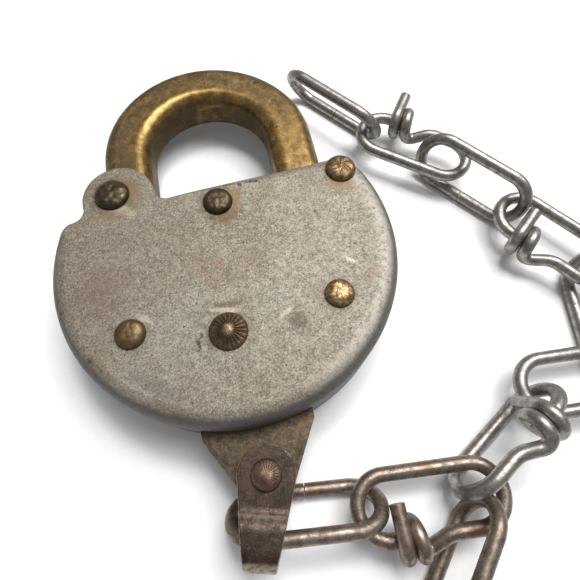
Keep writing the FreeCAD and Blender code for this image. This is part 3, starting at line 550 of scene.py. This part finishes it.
FINISH = {
    "case_steel": CASE,
    "shackle_brass": brass("shackle_brass", (bow_centre, bow_half - BAR_WIDTH)),
    "rivet_bronze": bronze("rivet_bronze", (0.16, 0.11, 0.06), (0.42, 0.29, 0.14)),
    "inner_brass": brass("inner_brass"),
    "spring_steel": steel("spring_steel", (0.4, 0.4, 0.4), (0.25, 0.25, 0.25), (0.2, 0.12, 0.07),
                          0.2, (0.6, 0.6, 0.6)),
    "hanger_steel": steel("hanger_steel", (0.110, 0.078, 0.046), (0.044, 0.030, 0.018), (0.100, 0.062, 0.028),
                          0.45, (0.32, 0.26, 0.18), (0.50, 0.36), 0.6, 1.3, True),
    "clevis_steel": steel("clevis_steel", (0.076, 0.048, 0.032), (0.034, 0.022, 0.015), (0.075, 0.042, 0.025),
                          0.4, (0.32, 0.26, 0.20), (0.50, 0.34), 0.65, 1.3, True),
    "clevis_rivet_steel": bronze("clevis_rivet_steel", (0.125, 0.074, 0.054), (0.25, 0.165, 0.13), 0.45),
    "chain_steel": steel("chain_steel", (0.34, 0.322, 0.295), (0.19, 0.178, 0.16), (0.16, 0.115, 0.075),
                         0.12, (0.50, 0.48, 0.45), (0.46, 0.33), 0.9, 1.5),
    "chain_rusty_steel": steel("chain_rusty_steel", (0.29, 0.235, 0.195), (0.14, 0.107, 0.084),
                               (0.19, 0.115, 0.065), 0.42, (0.44, 0.38, 0.33), (0.50, 0.35), 0.85, 1.5),
}
for node, shown in nodes.items():
    shown.data.materials.clear()
    shown.data.materials.append(FINISH[slot_of[node]])

# ---------------------------------------------------------------- worked pieces

case_rivet("shackle_rivet", hammered(1.0, 0.14, 1.6),
           bronze("pivot_bronze", (0.048, 0.034, 0.020), (0.115, 0.080, 0.045), 0.4), 2.2, 4.2)
case_rivet("rivet_top_middle", hammered(4.0, 0.10, 1.8),
           bronze("top_bronze", (0.055, 0.037, 0.020), (0.105, 0.073, 0.040), 0.4), 1.6, 4.8)
case_rivet("rivet_top_right", swirled(7, 0.13),
           bronze("corner_bronze", (0.098, 0.062, 0.031), (0.25, 0.16, 0.072), 0.6), 1.6, 3.6)
case_rivet("rivet_lower_left", hammered(7.0, 0.09, 1.5),
           bronze("left_bronze", (0.110, 0.072, 0.037), (0.205, 0.140, 0.072), 0.45), 1.6, 3.6)
case_rivet("rivet_lower_right", hammered(9.0, 0.14, 2.0),
           bronze("right_bronze", (0.145, 0.092, 0.043), (0.33, 0.225, 0.11), 0.7), 1.6, 3.2)


def key_post_piece():
    """The key's post: fluted head outside the case, neck, collar and pin inside it."""
    low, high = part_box("key_post")
    radius = (high.x - low.x) / 2 / MM
    neck, collar, pin = 2.0, 2.6, 1.5
    collar_thick, chamfer = 1.0, 0.3
    upper = head_profile(radius, high.z / MM - FACE_Z, FACE_Z, True, 18, 2.3)
    inner = FACE_Z - SHEET_THICK
    pin_top = inner - collar_thick
    pin_tip = low.z / MM
    profile = upper + [(neck, FACE_Z), (neck, inner), (collar, inner), (collar, pin_top), (pin, pin_top)]
    profile += [(pin, pin_tip + chamfer), (pin - chamfer, pin_tip), (0.0, pin_tip)]
    mesh = turned("key_post_worked", middle("key_post"), profile, len(upper), fluted(22, 0.30), 264)
    new_piece("key_post_worked", mesh, "case",
              bronze("key_bronze", (0.098, 0.064, 0.039), (0.245, 0.165, 0.098), 0.5), ["key_post"])


def clevis_rivet_piece():
    """The clevis's rivet, with a finely fluted head."""
    low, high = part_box("clevis_rivet")
    radius = (high.x - low.x) / 2 / MM
    head, shank = 1.3, 1.8
    seat = high.z / MM - head
    upper = head_profile(radius, head, seat, True, 16, 2.6)
    lower = head_profile(radius, head, -seat, False, 16)
    profile = upper + [(shank, seat), (shank, -seat)] + lower[::-1]
    mesh = turned("clevis_rivet_worked", middle("clevis_rivet"), profile, len(upper), fluted(24, 0.10), 192)
    new_piece("clevis_rivet_worked", mesh, "clevis", FINISH["clevis_rivet_steel"],
              ["clevis_rivet"])


def bolt_spring_piece():
    """The coil behind the bolt, a plain copy of the CAD node's mesh."""
    mesh = nodes["bolt_spring"].data.copy()
    spring = bpy.data.objects.new("bolt_spring_coil", mesh)
    bpy.context.scene.collection.objects.link(spring)
    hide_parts("bolt_spring")
    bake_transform(spring)


key_post_piece()
clevis_rivet_piece()
bolt_spring_piece()
softened("clevis", FINISH["clevis_steel"], 0.28)
softened("hanger_plate", FINISH["hanger_steel"], 0.22)
softened("key_cover", FINISH["inner_brass"], 0.15)
softened("front_plate", FINISH["case_steel"], 0.2)

# ---------------------------------------------------------------- floor, light and camera

FLOOR_HALF = 2.0
FLOOR_GAP = 0.00005
floor_shape = bmesh.new()
bmesh.ops.create_grid(floor_shape, x_segments=4, y_segments=4, size=FLOOR_HALF)
floor_mesh = bpy.data.meshes.new("floor")
floor_shape.to_mesh(floor_mesh)
floor_shape.free()
floor = bpy.data.objects.new("floor", floor_mesh)
floor.location = (0, 0, cad_box[0].z - FLOOR_GAP)
bpy.context.scene.collection.objects.link(floor)
floor_mesh.materials.append(floor_paper())

ROOM_COLOR, ROOM_STRENGTH = (0.97, 0.98, 1.0, 1), 0.33
world = bpy.data.worlds.new("studio")
world.use_nodes = True
world.node_tree.nodes["Background"].inputs["Color"].default_value = ROOM_COLOR
world.node_tree.nodes["Background"].inputs["Strength"].default_value = ROOM_STRENGTH
bpy.context.scene.world = world
bpy.context.scene.view_settings.view_transform = "Standard"


def soft_light(name, place, aim, size, power, color):
    """A round lamp that faces its aim: metres and watts."""
    data = bpy.data.lights.new(name, "AREA")
    data.shape = "DISK"
    data.size = size
    data.energy = power
    data.color = color
    lamp = bpy.data.objects.new(name, data)
    lamp.location = place
    lamp.rotation_euler = (Vector(aim) - Vector(place)).to_track_quat("-Z", "Y").to_euler()
    bpy.context.scene.collection.objects.link(lamp)


soft_light("window", (0.21, 0.12, 0.34), (0.01, 0.0, 0.0), 0.30, 0.75, (1.0, 0.99, 0.975))
soft_light("lamp", (0.05, 0.16, 0.38), (0.02, 0.0, 0.0), 0.09, 0.50, (1.0, 0.985, 0.96))

SKY_STRENGTH, SKY_SPREAD = 1.7, math.radians(40)
SKY_FROM = Vector((0.35, 0.30, 0.90))
sky_data = bpy.data.lights.new("skylight", "SUN")
sky_data.energy = SKY_STRENGTH
sky_data.angle = SKY_SPREAD
skylight = bpy.data.objects.new("skylight", sky_data)
skylight.rotation_euler = SKY_FROM.to_track_quat("Z", "Y").to_euler()
bpy.context.scene.collection.objects.link(skylight)

CAMERA_AT = Vector((5.7, -22.6, 76.8)) * MM
LOOK_AT = Vector((11.6, 5.2, 6.5)) * MM
UP = Vector((0.205, 0.979, 0.0))
SENSOR_MM = 36
LENS_MM = 27.06

camera_data = bpy.data.cameras.new("camera")
camera_data.sensor_width = SENSOR_MM
camera_data.lens = LENS_MM
camera_data.clip_start = 0.005
camera = bpy.data.objects.new("camera", camera_data)
forward = (LOOK_AT - CAMERA_AT).normalized()
right = forward.cross(UP).normalized()
upward = right.cross(forward)
facing = Matrix((right, upward, -forward)).transposed().to_4x4()
camera.matrix_world = Matrix.Translation(CAMERA_AT) @ facing
bpy.context.scene.collection.objects.link(camera)
bpy.context.scene.camera = camera
